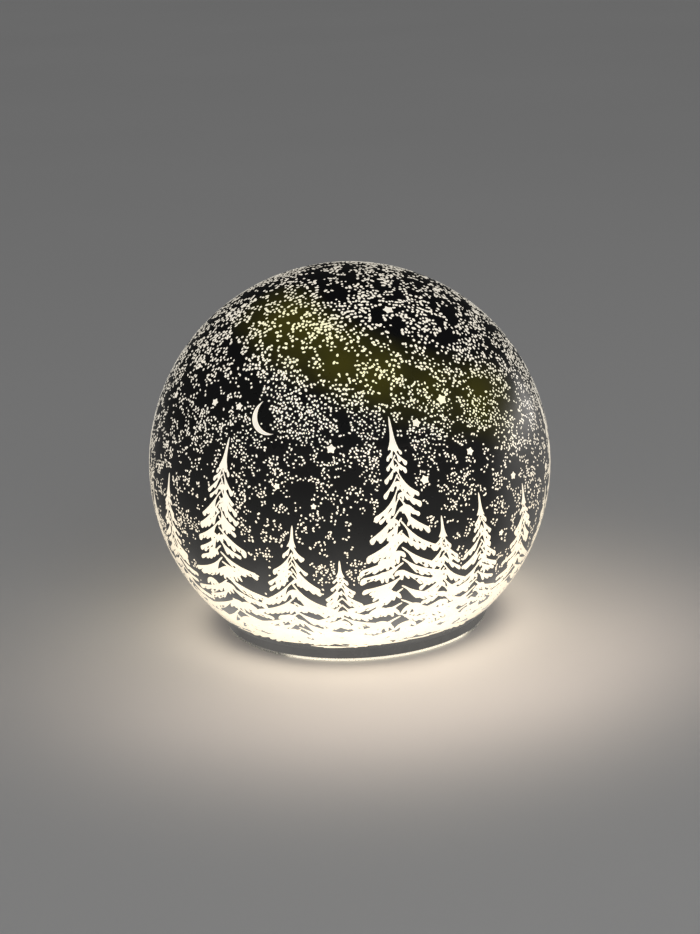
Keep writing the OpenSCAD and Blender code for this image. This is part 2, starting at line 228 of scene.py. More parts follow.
def night_coat():
    """Satin black lacquer: an olive aurora, a painted glow low down, a painted reflection."""
    shader = Shader("night_lacquer")
    way = from_centre(shader)
    height = shader.node("ShaderNodeSeparateXYZ", Vector=way).outputs["Z"]
    mottle = shader.noise(5.0, detail=4.0, where=way)
    # Painted glow: emission that grows towards the bottom of the ball, standing in for the lit
    # table's reflection and the halo round the etched shapes
    low = shader.ramp(height, *PAINTED_GLOW_HEIGHTS, 0.0, 1.0)
    painted_glow = shader.math("MULTIPLY", shader.math("POWER", low, PAINTED_GLOW_CURVE), PAINTED_GLOW_MOST)
    painted_glow = shader.math("MULTIPLY", painted_glow, shader.ramp(mottle, 0.3, 0.7, 0.8, 1.2))
    neck = shader.ramp(height, *NECK_HEIGHTS, 1.0, NECK_PAINTED_GLOW_SHARE, smooth=True)
    painted_glow = shader.math("MULTIPLY", painted_glow, neck)
    # Painted reflection: a soft lighter patch on the right of the coat, standing in for the bright
    # table seen in it
    thin = shader.vector_math("DOT_PRODUCT", way, tuple(direction(*PAINTED_REFLECTION_AT))).outputs["Value"]
    edge = math.cos(math.radians(PAINTED_REFLECTION_REACH_DEG))
    painted_reflection = shader.ramp(thin, edge, 1.0, 0.0, PAINTED_REFLECTION_GLOW, smooth=True)
    painted_glow = shader.math("ADD", painted_glow, painted_reflection)
    aurora = aurora_mask(shader, way)
    # Painted glow: the coat's own emission is a little lighter low down
    dark = shader.mix(low, rgb(0.001, 0.001, 0.001), rgb(0.016, 0.016, 0.015))
    glow = shader.mix(aurora, dark, rgb(0.040, 0.036, 0.004))
    grain = shader.noise(900.0, detail=2.0)
    shader.set(
        Base_Color=shader.mix(mottle, rgb(0.004, 0.004, 0.005), rgb(0.010, 0.010, 0.011)),
        Roughness=shader.ramp(mottle, 0.3, 0.7, 0.22, 0.32),
        Specular_IOR_Level=0.15,
        Emission_Color=shader.mix(painted_glow, glow, rgb(1.0, 0.97, 0.92)),
        Emission_Strength=1.0,
    )
    shader.bump(grain, 0.02, 0.25)
    return shader.material


def etched_light():
    """Etched glass, lit from inside through the frosting."""
    shader = Shader("etched_light")
    way = from_centre(shader)
    height = shader.node("ShaderNodeSeparateXYZ", Vector=way).outputs["Z"]
    frosting = shader.noise(700.0, detail=3.0)
    uneven = shader.noise(14.0, detail=3.0, where=way)
    colour = shader.mix(shader.ramp(height, *GLOW_HEIGHTS, 0.0, 1.0), LOW_GLOW, HIGH_GLOW)
    colour = shader.mix(aurora_mask(shader, way), colour, AURORA_GLOW)
    power = shader.ramp(uneven, 0.3, 0.7, 0.93, 1.07)
    shader.set(
        Base_Color=rgb(0.55, 0.53, 0.47),
        Roughness=0.6,
        Emission_Color=colour,
        Emission_Strength=power,
        Coat_Weight=1.0,
        Coat_Roughness=0.12,
        Coat_Tint=rgb(0.95, 0.92, 0.87),
    )
    shader.bump(frosting, 0.03, 0.3)
    return shader.material


def clear_glass():
    """Clear blown glass with a painted glow on the front arc of its bare ground rim."""
    shader = Shader("clear_glass")
    place = shader.node("ShaderNodeSeparateXYZ", Vector=shader.place())
    rim_top = COAT_LOW.z
    # Painted glow: emission on the bare rim, partly the lamp's light carried through the glass, kept
    # to the front arc
    low = shader.ramp(place.outputs["Z"], rim_top, rim_top * 0.8, 0.0, RIM_GLOW)
    way = shader.vector_math("NORMALIZE", shader.place(), (0, 0, 0)).outputs[0]
    facing = shader.vector_math("DOT_PRODUCT", way, tuple(direction(RIM_GLOW_LON_DEG, 0)))
    edge = math.cos(math.radians(RIM_GLOW_REACH_DEG))
    front = shader.ramp(facing.outputs["Value"], edge, edge + 0.12, 0.0, 1.0, smooth=True)
    glow = shader.math("MULTIPLY", low, front)
    ground = shader.noise(1600.0, detail=2.0)
    shader.set(
        Base_Color=rgb(0.93, 0.95, 0.93),
        Roughness=shader.ramp(ground, 0.3, 0.7, 0.2, 0.4),
        Transmission_Weight=0.6,
        IOR=1.5,
        Emission_Color=rgb(1.0, 0.88, 0.68),
        Emission_Strength=glow,
    )
    shader.bump(ground, 0.02, 0.4)
    return shader.material


def moulded(name, dark, light, roughness, grain_mm=0.25, bump_mm=0.02):
    """Moulded plastic or rubber: fine texture, faint colour drift, uneven gloss."""
    shader = Shader(name)
    drift = shader.noise(60.0, detail=4.0)
    texture = shader.noise(1.0 / (grain_mm * MM), detail=2.0)
    shader.set(
        Base_Color=shader.mix(drift, rgb(*dark), rgb(*light)),
        Roughness=shader.ramp(drift, 0.3, 0.7, roughness - 0.06, roughness + 0.06),
    )
    shader.bump(texture, bump_mm, 0.5)
    return shader.material


def plated(name, dark, light, roughness):
    """Plated metal with fine drawn lines and a few dull patches."""
    shader = Shader(name)
    stretch = shader.vector_math("MULTIPLY", shader.place(), (400.0, 400.0, 3000.0)).outputs[0]
    lines = shader.noise(1.0, detail=3.0, where=stretch)
    patches = shader.noise(250.0, detail=4.0)
    shader.set(
        Base_Color=shader.mix(patches, rgb(*dark), rgb(*light)),
        Metallic=1.0,
        Roughness=shader.ramp(lines, 0.3, 0.7, roughness - 0.08, roughness + 0.12),
    )
    shader.bump(lines, 0.005, 0.5)
    return shader.material


def opal(name, colour, glow):
    """Milky plastic or frosting that the lamps light from behind."""
    shader = Shader(name)
    cloud = shader.noise(90.0, detail=4.0)
    shader.set(
        Base_Color=rgb(*colour),
        Roughness=shader.ramp(cloud, 0.3, 0.7, 0.45, 0.6),
        Emission_Color=rgb(1.0, 0.93, 0.78),
        Emission_Strength=shader.ramp(cloud, 0.3, 0.7, glow * 0.85, glow),
    )
    shader.bump(cloud, 0.05, 0.3)
    return shader.material


def circuit_green():
    """Solder mask over copper tracks."""
    shader = Shader("circuit_board")
    cells = shader.node("ShaderNodeTexVoronoi", Scale=330.0)
    cells.feature = "DISTANCE_TO_EDGE"
    tracks = shader.ramp(cells.outputs["Distance"], 0.08, 0.12, 1.0, 0.0)
    shader.set(
        Base_Color=shader.mix(tracks, rgb(0.01, 0.11, 0.04), rgb(0.03, 0.2, 0.07)),
        Roughness=0.32,
    )
    shader.bump(tracks, 0.03, 0.6)
    return shader.material


def cell_sleeve():
    """Plain battery sleeve: a grey body with a darker band at one end."""
    shader = Shader("battery_case")
    along = shader.node("ShaderNodeSeparateXYZ", Vector=shader.place()).outputs["Y"]
    band = shader.ramp(along, 0.012, 0.0125, 0.0, 1.0)
    scuffs = shader.noise(500.0, detail=5.0)
    body = shader.mix(scuffs, rgb(0.30, 0.31, 0.33), rgb(0.42, 0.43, 0.45))
    shader.set(
        Base_Color=shader.mix(band, body, rgb(0.45, 0.30, 0.09)),
        Metallic=0.6,
        Roughness=shader.ramp(scuffs, 0.3, 0.7, 0.28, 0.42),
    )
    shader.bump(scuffs, 0.01, 0.3)
    return shader.material


def dress_frame():
    """Give every CAD node its material."""
    looks = {
        "night_lacquer": night_coat(),
        "clear_glass": clear_glass(),
        "frost": opal("frost", (0.9, 0.88, 0.8), 0.8),
        "opal_plastic": opal("opal_plastic", (0.93, 0.91, 0.85), 1.2),
        "led_lens": opal("led_lens", (0.95, 0.85, 0.55), 3.0),
        "silicone": moulded("silicone", (0.70, 0.70, 0.68), (0.82, 0.82, 0.80), 0.55),
        "black_abs": moulded("black_abs", (0.012, 0.012, 0.013), (0.03, 0.03, 0.032), 0.5),
        "white_abs": moulded("white_abs", (0.74, 0.74, 0.72), (0.86, 0.86, 0.84), 0.42),
        "chip_epoxy": moulded("chip_epoxy", (0.02, 0.02, 0.02), (0.05, 0.05, 0.05), 0.6),
        "capacitor_sleeve": moulded("capacitor_sleeve", (0.01, 0.02, 0.1), (0.03, 0.05, 0.2), 0.3),
        "phenolic": moulded("phenolic", (0.20, 0.10, 0.04), (0.34, 0.19, 0.08), 0.55, 0.4),
        "red_wire": moulded("red_wire", (0.38, 0.01, 0.01), (0.55, 0.03, 0.02), 0.4),
        "black_wire": moulded("black_wire", (0.012, 0.012, 0.012), (0.03, 0.03, 0.03), 0.4),
        "foam": moulded("foam", (0.04, 0.04, 0.04), (0.14, 0.14, 0.14), 0.9, 0.6, 0.3),
        "steel": plated("steel", (0.45, 0.45, 0.46), (0.66, 0.66, 0.67), 0.32),
        "plated_can": plated("plated_can", (0.58, 0.58, 0.58), (0.74, 0.74, 0.74), 0.28),
        "contact_nickel": plated("contact_nickel", (0.60, 0.58, 0.54), (0.76, 0.74, 0.70), 0.24),
        "circuit_board": circuit_green(),
        "battery_case": cell_sleeve(),
    }
    for part in frame["record"]["subparts"]:
        node = frame["nodes"][part["node"]]
        for slot in node.material_slots:
            slot.material = looks[part["material_slot"]]


dress_frame()

# ---------------------------------------------------------------- etched picture

# Etched shapes are thin closed tiles let into the coat and just proud of it
TILE_TOP_MM = 0.05
TILE_DEPTH_MM = 0.10
BALL_R_MM = BALL_R / MM
# Chart units are millimetres along the equator and up a meridian
MM_PER_DEG = math.radians(1.0) * BALL_R_MM
# The shapes are cut to tiles one upright strip of the chart at a time
SECTOR_DEG = 30
SECTORS = range(360 // SECTOR_DEG)
# The ball turns into the neck just under this latitude
LOWEST_LAT_DEG = -47.6
# Spacing of the grid that bends the shapes round the ball
GRID_MM = 3.5
# Two corners nearer than this are one
MERGE_MM = 0.004
ETCHED = etched_light()


def on_ball(chart_x, chart_y, radius_mm):
    """The point of the scene at a place in the chart and a distance from the centre."""
    way = direction(chart_x / MM_PER_DEG, chart_y / MM_PER_DEG)
    return BALL_C + way * (radius_mm * MM)


def etched_piece(name, mesh):
    """Add a mesh to the scene as a glowing piece that rides on the globe."""
    piece = bpy.data.objects.new(name, mesh)
    SCENE.collection.objects.link(piece)
    piece.data.materials.append(ETCHED)
    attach(piece, "globe")
    return piece


def rounded(points):
    """Cut the corners of a closed outline a quarter of the way along each side."""
    cut = []
    for here, ahead in zip(points, points[1:] + points[:1]):
        step = ahead - here
        cut += [here + step * 0.25, here + step * 0.75]
    return cut


def sector_triangles(outlines, low_x, high_x, low_y, high_y):
    """Triangles of the union of the outlines inside one upright strip of the chart."""
    points = []
    faces = []
    for outline in outlines:
        xs = [point.x for point in outline]
        if max(xs) < low_x or min(xs) > high_x:
            continue
        faces.append(list(range(len(points), len(points) + len(outline))))
        points += outline
    first = len(points)
    for x in (low_x, high_x):
        points += [Vector((x, low_y)), Vector((x, high_y))]
    edges = [(first, first + 1), (first + 2, first + 3), (first, first + 2)]
    columns = round((high_x - low_x) / GRID_MM)
    rows = int((high_y - low_y) / GRID_MM)
    for column in range(columns + 1):
        for row in range(rows + 1):
            share = column / columns
            points.append(Vector((low_x + (high_x - low_x) * share, low_y + row * GRID_MM)))
    corners, _, triangles, _, _, sources = delaunay_2d_cdt(points, edges, faces, 0, 1e-4, True)
    kept = []
    for triangle, source in zip(triangles, sources):
        places = [corners[i] for i in triangle]
        middle = sum(places, Vector((0, 0))) / len(places)
        if source and low_x < middle.x < high_x and middle.y > low_y:
            kept.append(places)
    return kept


def anticlockwise(outline):
    """The triangulation takes the inside of an outline to be on its left."""
    area = sum(here.cross(ahead) for here, ahead in zip(outline, outline[1:] + outline[:1]))
    return outline if area > 0 else outline[::-1]


def tiles(name, outlines, sectors=SECTORS):
    """One piece from chart outlines: their union, wrapped on the ball as closed tiles."""
    outlines = [anticlockwise(outline) for outline in outlines]
    turn = 360 * MM_PER_DEG
    spread = [
        [point + Vector((shift, 0)) for point in outline]
        for outline in outlines for shift in (-turn, 0, turn)
    ]
    heights = [point.y for outline in outlines for point in outline]
    low_y = max(min(heights) - 1, LOWEST_LAT_DEG * MM_PER_DEG)
    high_y = max(heights) + 1
    mesh = bmesh.new()
    for sector in sectors:
        low_x = (sector * SECTOR_DEG - 180) * MM_PER_DEG
        high_x = low_x + SECTOR_DEG * MM_PER_DEG
        for corners in sector_triangles(spread, low_x, high_x, low_y, high_y):
            mesh.faces.new([
                mesh.verts.new(on_ball(point.x, point.y, BALL_R_MM + TILE_TOP_MM))
                for point in corners
            ])
    bmesh.ops.remove_doubles(mesh, verts=mesh.verts, dist=MERGE_MM * MM)
    deepen(mesh)
    data = bpy.data.meshes.new(name)
    mesh.to_mesh(data)
    mesh.free()
    return etched_piece(name, data)


def deepen(mesh):
    """Close every sheet of a mesh on the ball into a thin solid, top face outwards."""
    bmesh.ops.recalc_face_normals(mesh, faces=mesh.faces)
    for face in mesh.faces:
        if face.normal.dot(face.calc_center_median() - BALL_C) < 0:
            face.normal_flip()
    made = bmesh.ops.extrude_face_region(mesh, geom=mesh.faces[:])
    sunk = {item for item in made["geom"] if isinstance(item, bmesh.types.BMVert)}
    radius = (BALL_R_MM - TILE_DEPTH_MM) * MM
    tops = [vert for vert in mesh.verts if vert not in sunk]
    for vert in tops:
        vert.co = BALL_C + (vert.co - BALL_C).normalized() * radius
    bmesh.ops.recalc_face_normals(mesh, faces=mesh.faces)


# ---- trees

# Trees in the picture: tip longitude and latitude, foot longitude, and half the
# width at the foot in millimetres. The first nine face the viewer.
TREES = [
    (12, 28, 14, 23), (-36, 22, -42, 23), (-16, 0, -20, 21), (-4, -10, -4, 15), (24, 0, 28, 17),
    (36, 4, 40, 17), (54, 2, 60, 17), (-60, 8, -64, 16), (-74, 2, -78, 16),
    (72, -4, 75, 14), (80, 25, 84, 16), (106, 0, 107, 15), (121, 6, 121, 16),
    (139, 24, 139, 20), (157, -2, 157, 15), (171, 8, 172, 16), (-171, -6, -171, 14),
    (-153, 22, -153, 20), (-136, 1, -135, 15), (-121, -5, -121, 14), (-105, 18, -104, 20),
    (-84, 24, -88, 15),
]
# The ground's latitude at the front, and how much higher it is at the sides
GROUND_LAT_DEG = -42.7
GROUND_RISE_DEG = 3.6


def ground_lat(lon):
    """Latitude of the ground under the forest, which rises towards both sides."""
    return GROUND_LAT_DEG + GROUND_RISE_DEG * math.sin(math.radians(lon)) ** 2


class Tree:
    """A spruce: a thin spire over drooping boughs with fingered lower edges."""

    # The fingers of a bough lie between two places along it, 0 at the trunk and 1 at the
    # tip. They hang at an angle to it, and their lengths vary by a factor.
    FINGERS_START = 0.22
    FINGERS_END = 0.93
    FINGER_LEAN_DEG = (24, 44)
    FINGER_STEEPEST_DEG = 112
    FINGER_VARIES = (0.7, 1.3)
    # Millimetres of a bough's reach to each finger, and the least and most of them
    FINGER_ROOM_MM = 2.7
    FINGERS_LEAST = 2
    FINGERS_MOST = 5
    # Share of the tree's half width that a long and a short bough reaches, and how often
    # the one follows the other
    LONG_BOUGH = (0.98, 1.18)
    SHORT_BOUGH = (0.62, 0.85)
    TURNS_KEPT = 0.8
    LEAST_REACH_MM = 1.8
    # Keeps a steep bough from reaching without end
    LEAST_LEAN = 0.5
    # No bough starts nearer the ground than the first, or droops below it past the second
    BARE_FOOT_MM = 3
    SKIRT_MM = 1

    def __init__(self, tip_lon, tip_lat, foot_lon, half_width, seed):
        self.tip_lon = tip_lon
        self.tip_lat = tip_lat
        self.foot_lon = foot_lon
        self.half_width = half_width
        self.height = (tip_lat - ground_lat(foot_lon)) * MM_PER_DEG
        self.rng = random.Random(seed)

    def chart(self, across, down):
        """Chart place of a point across and down from the tip, in millimetres."""
        lat = self.tip_lat - down / MM_PER_DEG
        axis = self.tip_lon + (self.foot_lon - self.tip_lon) * down / self.height
        x = axis * MM_PER_DEG + across / math.cos(math.radians(lat))
        return Vector((x, lat * MM_PER_DEG))

    def reach(self, down):
        """Half the tree's width at a distance down from its tip."""
        return self.half_width * down / self.height

    def outline(self, points):
        """Chart outline with cut corners, from points across and down from the tip."""
        return rounded([self.chart(x, y) for x, y in points])

    def spire(self, length):
        """The bare top of the tree, which opens into a small ragged skirt."""
        flare = 0.055 * length + 0.7
        points = [
            (0, 0), (0.35, 0.2 * length), (0.42 * flare, 0.55 * length),
            (0.7 * flare, 0.8 * length), (1.5 * flare, 1.1 * length), (0.75 * flare, length),
            (0.5 * flare, 1.25 * length), (0, 1.02 * length), (-0.8 * flare, 1.18 * length),
            (-0.7 * flare, length), (-1.7 * flare, 1.05 * length), (-0.75 * flare, 0.8 * length),
            (-0.42 * flare, 0.55 * length), (-0.35, 0.2 * length),
        ]
        return self.outline(points)

    def bough(self, side, down, reach, steepness):
        """One drooping bough: a thin stem, a fat middle, hanging fingers and a pointed tip."""
        rng = self.rng
        drop = reach * steepness
        lift = rng.uniform(0.26, 0.40)

        def edge(t):
            """Upper edge, from the trunk at 0 to the tip at 1."""
            x = 2 * t * (1 - t) * lift * reach + t * t * reach
            y = 2 * t * (1 - t) * (1 - lift) * drop + t * t * drop
            return x, y

        def thick(t):
            """Depth of the solid part of the bough below its upper edge."""
            swell = math.sin(math.pi * min(1.0, max(0.0, (t - 0.05) / 0.95)) ** 0.8)
            return 0.44 + (0.35 + 0.078 * reach) * swell

        points = [edge(t) for t in (0.0, 0.3, 0.6, 0.84, 1.0)]
        fingers = round(reach / self.FINGER_ROOM_MM)
        fingers = max(self.FINGERS_LEAST, min(self.FINGERS_MOST, fingers))
        half = 0.46 + 0.024 * reach
        spacing = (self.FINGERS_END - self.FINGERS_START) / fingers
        for i in range(fingers):
            t = self.FINGERS_END - spacing * (i + 0.35)
            x, y = edge(t)
            ahead_x, ahead_y = edge(t + 0.05)
            along = math.degrees(math.atan2(ahead_y - y, ahead_x - x))
            hang = min(self.FINGER_STEEPEST_DEG, along + rng.uniform(*self.FINGER_LEAN_DEG))
            angle = math.radians(hang)
            length = thick(t) + (0.7 + 0.11 * reach) * rng.uniform(*self.FINGER_VARIES)
            end_x = x + length * math.cos(angle)
            end_y = y + length * math.sin(angle)
            side_x = half * math.sin(angle)
            side_y = half * math.cos(angle)
            notch_x, notch_y = edge(t - 0.55 * spacing)
            points += [
                (end_x + 0.9 * side_x, end_y - 0.9 * side_y),
                (end_x + 0.35 * math.cos(angle), end_y + 0.35 * math.sin(angle)),
                (end_x - 0.9 * side_x, end_y + 0.9 * side_y),
                (notch_x, notch_y + 0.9 * thick(t - 0.5 * spacing)),
            ]
        points += [(edge(0.15)[0], edge(0.15)[1] + 0.7), (-0.4, 0.6)]
        return self.outline([(side * x, down + y) for x, y in points])

    def fan(self, across, down, width):
        """A small hanging fan in the middle of the tree: a domed top over rounded fingers."""
        rng = self.rng
        fingers = max(3, min(6, round(width / 1.5)))
        tilt = rng.uniform(-0.25, 0.25)
        depth = 0.55 * width
        points = [
            (-0.5 * width, 0.30 * depth), (-0.22 * width, -0.05 * depth),
            (0.1 * width, -0.15 * depth), (0.5 * width, 0.25 * depth),
        ]
        half = 0.34 * width / fingers
        for i in range(fingers):
            place = 0.5 - (i + 0.5) / fingers
            spread = 1.25 * place
            length = depth * rng.uniform(0.8, 1.2) * (1.15 - 1.1 * abs(place))
            root_x = place * width
            end_x = root_x + length * spread
            end_y = 0.25 * depth + length
            notch_x = (0.5 - (i + 1.0) / fingers) * width
            points += [(end_x + half, end_y), (end_x, end_y + 0.3), (end_x - half, end_y)]
            if i < fingers - 1:
                points.append((notch_x, 0.25 * depth + 0.35 * length))
        return self.outline([(across + x, down + y + tilt * x) for x, y in points])

    def boughs(self, side, spire):
        """The boughs down one side, long and short ones mostly by turns."""
        rng = self.rng
        slope = self.half_width / self.height
        shapes = []
        down = spire * rng.uniform(0.72, 0.95)
        long_turn = rng.random() < 0.5
        while down < self.height - self.BARE_FOOT_MM:
            share = down / self.height
            steepness = max(0.42, 1.6 - 2.1 * share) * rng.uniform(0.85, 1.15)
            size = rng.uniform(*(self.LONG_BOUGH if long_turn else self.SHORT_BOUGH))
            # A drooping bough ends lower, where the tree is wider, so it reaches further
            lean = max(self.LEAST_LEAN, 1 - slope * steepness)
            reach = max(self.LEAST_REACH_MM, size * slope * down / lean)
            steepness = min(steepness, (self.height + self.SKIRT_MM - down) / reach)
            shapes.append(self.bough(side, down, reach, steepness))
            down += (2.05 + 0.066 * down) * rng.uniform(0.8, 1.2)
            long_turn = not long_turn if rng.random() < self.TURNS_KEPT else long_turn
        return shapes

    def fans(self, spire):
        """Small fans over the middle of the tree, more of them where it is wide."""
        rng = self.rng
        shapes = []
        down = spire * 1.5
        while down < self.height - self.BARE_FOOT_MM:
            reach = self.reach(down)
            width = (1.8 + 0.24 * reach) * rng.uniform(0.85, 1.15)
            for _ in range(1 + (reach > 7) + (reach > 12)):
                across = rng.uniform(-0.55, 0.55) * (reach - 0.2 * width)
                shapes.append(self.fan(across, down + rng.uniform(-1.5, 1.5), width))
            down += 2.8 + 0.34 * reach
        return shapes

    def outlines(self):
        """All the outlines of the tree: spire, each side's boughs, fans over the middle."""
        spire = 0.10 * self.height + 2.5
        sides = self.boughs(-1, spire) + self.boughs(1, spire)
        return [self.spire(spire)] + sides + self.fans(spire)

    def covers(self, x, y, margin):
        """True where a chart place is inside the tree or within a margin of it."""
        lat = y / MM_PER_DEG
        down = (self.tip_lat - lat) * MM_PER_DEG
        if down < -margin:
            return False
        axis = self.chart(0, down).x
        across = abs(x - axis) * math.cos(math.radians(lat))
        return across < margin + 0.95 * self.reach(max(0.0, down - 3))


# Small trees round the foot of the forest
SAPLINGS = 26
SAPLING_TIP_LAT_DEG = (-34, -28)
SAPLING_HALF_WIDTH_MM = (7, 9)
SAPLING_SEED = 100


def saplings():
    """Small trees that fill the foot of the forest all the way round."""
    rng = random.Random(9)
    planted = []
    for i in range(SAPLINGS):
        lon = -180 + 360 * (i + rng.uniform(-0.3, 0.3)) / SAPLINGS
        tip_lat = rng.uniform(*SAPLING_TIP_LAT_DEG)
        half_width = rng.uniform(*SAPLING_HALF_WIDTH_MM)
        planted.append(Tree(lon, tip_lat, lon, half_width, SAPLING_SEED + i))
    return planted


WOOD = [Tree(*tree, seed) for seed, tree in enumerate(TREES)] + saplings()


def forest():
    """The trees and the snow they stand in."""
    shapes = []
    for tree in WOOD:
        shapes += tree.outlines()
    shapes += snow_bank()
    # Two pieces, the viewer's side and the far side, keep each one's mesh a fair size
    front = [sector for sector in SECTORS if abs((sector + 0.5) * SECTOR_DEG - 180) < 90]
    back = [sector for sector in SECTORS if sector not in front]
    tiles("etched_forest_front", shapes, front)
    tiles("etched_forest_back", shapes, back)


def leaf(x, y, length, width, angle_deg, bend=0.0):
    """A long pointed stroke of snow in the chart, centred on a place."""
    steps = 5
    half = length / 2
    turn = Matrix.Rotation(math.radians(angle_deg), 2)
    stretch = 1 / math.cos(math.radians(y / MM_PER_DEG))
    upper = []
    lower = []
    for i in range(steps + 1):
        t = 2 * i / steps - 1
        lift = bend * (1 - t * t)
        thick = 0.12 + width / 2 * (1 - t * t) ** 0.7
        upper.append(turn @ Vector((t * half, lift + thick)))
        lower.append(turn @ Vector((t * half, lift - thick)))
    return [Vector((x + point.x * stretch, y + point.y)) for point in upper + lower[::-1]]


# The snow bank's lowest and highest strokes, in degrees above the ground
BANK_LOW_DEG = -0.6
BANK_HIGH_DEG = 4.4
BANK_STROKES = 320


def snow_bank():
    """Snow piled under the trees: short strokes that overlap and leave small gaps."""
    rng = random.Random(77)
    shapes = []
    for _ in range(BANK_STROKES):
        lon = rng.uniform(-180, 180)
        rise = BANK_LOW_DEG + (BANK_HIGH_DEG - BANK_LOW_DEG) * rng.random() ** 1.5
        lat = ground_lat(lon) + rise
        slant = rng.choice((-1, 1)) * rng.uniform(8, 60)
        shapes.append(leaf(
            lon * MM_PER_DEG, lat * MM_PER_DEG, rng.uniform(3, 6.5), rng.uniform(1.0, 2.0),
            slant, rng.uniform(-0.5, 0.5),
        ))
    return shapes


# How far under the ground line the drifts lie, and how much that varies either way
DRIFT_DROP_DEG = 2.7
DRIFT_VARIES_DEG = 0.7
DRIFT_STROKES = 46


def snow_drifts():
    """Long thin strokes of blown snow along the foot of the ball."""
    rng = random.Random(5)
    shapes = []
    for i in range(DRIFT_STROKES):
        lon = -180 + 360 * (i + rng.uniform(-0.4, 0.4)) / DRIFT_STROKES
        lat = ground_lat(lon) - DRIFT_DROP_DEG + rng.uniform(-DRIFT_VARIES_DEG, DRIFT_VARIES_DEG)
        shapes.append(leaf(
            lon * MM_PER_DEG, lat * MM_PER_DEG, rng.uniform(6, 16), rng.uniform(0.5, 0.9),
            rng.uniform(-5, 5), rng.uniform(-0.5, 0.5),
        ))
    tiles("etched_drifts", shapes)


# ---- sky

# The moon's disc and the disc that cuts it to a crescent, in millimetres
MOON_LON_DEG = -24
MOON_LAT_DEG = 28
MOON_R_MM = 6.3
MOON_BITE_R_MM = 7.0
MOON_BITE_SHIFT_MM = Vector((2.35, 1.2))
# Straight steps in each of the crescent's two arcs
CRESCENT_STEPS = 26
# Stars over the forest in front: longitude, latitude and radius to the points in millimetres
STARS = [
    (-45, 30, 1.6), (-35, 30, 1.6), (-5, 20, 1.9), (25, 60, 2.2), (30, 30, 2.2), (20, 25, 1.8),
    (35, 15, 1.7), (20, 10, 1.9), (50, 5, 1.6), (45, -10, 1.4), (-20, 10, 1.4), (-10, 5, 1.2),
]
# Radius of a star's notches as a share of its points', and the most it leans in radians
STAR_INNER = 0.56
STAR_LEAN = 0.4
# The rest of the stars: their number, the stretch of sky they lie in, how large they
# are, and the room left bare between them and the trees
BACK_STARS = 34
BACK_STAR_LON_DEG = (66, 294)
BACK_STAR_LAT_DEG = (-5, 62)
BACK_STAR_R_MM = (1.2, 2.1)
STAR_CLEAR_MM = 3


def crescent():
    """The moon: a disc with a larger disc cut out of it."""
    centre = Vector((MOON_LON_DEG, MOON_LAT_DEG)) * MM_PER_DEG
    stretch = 1 / math.cos(math.radians(MOON_LAT_DEG))
    gap = MOON_BITE_SHIFT_MM.length
    lean = math.atan2(MOON_BITE_SHIFT_MM.y, MOON_BITE_SHIFT_MM.x)
    # Half angles at which the two circles cross, seen from each centre
    along = (gap * gap + MOON_R_MM ** 2 - MOON_BITE_R_MM ** 2) / (2 * gap)
    outer_half = math.acos(along / MOON_R_MM)
    bite_half = math.acos((along - gap) / MOON_BITE_R_MM)
    points = []
    for i in range(CRESCENT_STEPS + 1):
        angle = lean + outer_half + (2 * math.pi - 2 * outer_half) * i / CRESCENT_STEPS
        points.append(MOON_R_MM * Vector((math.cos(angle), math.sin(angle))))
    for i in range(1, CRESCENT_STEPS):
        angle = lean - bite_half - (2 * math.pi - 2 * bite_half) * i / CRESCENT_STEPS
        ray = Vector((math.cos(angle), math.sin(angle)))
        points.append(MOON_BITE_SHIFT_MM + MOON_BITE_R_MM * ray)
    return [centre + Vector((point.x * stretch, point.y)) for point in points]


def star_outline(lon, lat, radius, turn):
    """A five-pointed star with softened points."""
    stretch = 1 / math.cos(math.radians(lat))
    centre = Vector((lon, lat)) * MM_PER_DEG
    points = []
    for i in range(10):
        angle = turn + math.radians(90 + 36 * i)
        reach = radius if i % 2 == 0 else radius * STAR_INNER
        points.append(centre + reach * Vector((math.cos(angle) * stretch, math.sin(angle))))
    return rounded(points)


def all_stars():
    """The stars over the forest in front, and scattered ones round the rest of the ball."""
    rng = random.Random(21)
    placed = list(STARS)
    while len(placed) < len(STARS) + BACK_STARS:
        lon = (rng.uniform(*BACK_STAR_LON_DEG) + 180) % 360 - 180
        lat = rng.uniform(*BACK_STAR_LAT_DEG)
        if not in_wood(lon, lat, STAR_CLEAR_MM):
            placed.append((lon, lat, rng.uniform(*BACK_STAR_R_MM)))
    return placed


def in_wood(lon, lat, margin):
    """True on a tree or within a margin of one, in millimetres."""
    turn = 360 * MM_PER_DEG
    x = lon * MM_PER_DEG
    y = lat * MM_PER_DEG
    return any(tree.covers(x + shift, y, margin) for tree in WOOD for shift in (-turn, 0, turn))


def sky_pieces():
    """The moon, the stars and the dots of light."""
    rng = random.Random(3)
    tiles("etched_moon", [crescent()])
    stars = all_stars()
    outlines = [star_outline(*star, rng.uniform(-STAR_LEAN, STAR_LEAN)) for star in stars]
    tiles("etched_stars", outlines)
    star_dust(stars)


# Places tried for a dot, from this latitude up to the top of the ball
DUST_TRIES = 260000
DUST_LOW_DEG = -24
# Least distance between the centres of two full-size dots, and how it varies
DUST_SPACING_MM = 1.12
DUST_SPACING_VARIES = (0.72, 1.35)
# A full-size dot's half width, and how many times longer than wide it is
DUST_R_MM = (0.30, 0.58)
DUST_STRETCH = (1.0, 1.8)
DUST_SIDES = 6
# Room left bare round stars, the moon and trees
DUST_CLEAR_MM = {"star": 0.2, "moon": 0.7, "tree": 1.2}
# A dot is kept where its density beats a random number up to this one
DUST_RARITY = 3.0
# Height on the ball, -1 to 1, at which the dots are parted into two pieces
DUST_SPLIT = 0.42
# Dots low in the sky are smaller: their size there, and the heights on the ball, -1 to
# 1, where they start to grow and where they are full size
DUST_SMALL = 0.68
DUST_SMALL_BELOW = 0.40
DUST_FULL_ABOVE = 0.78


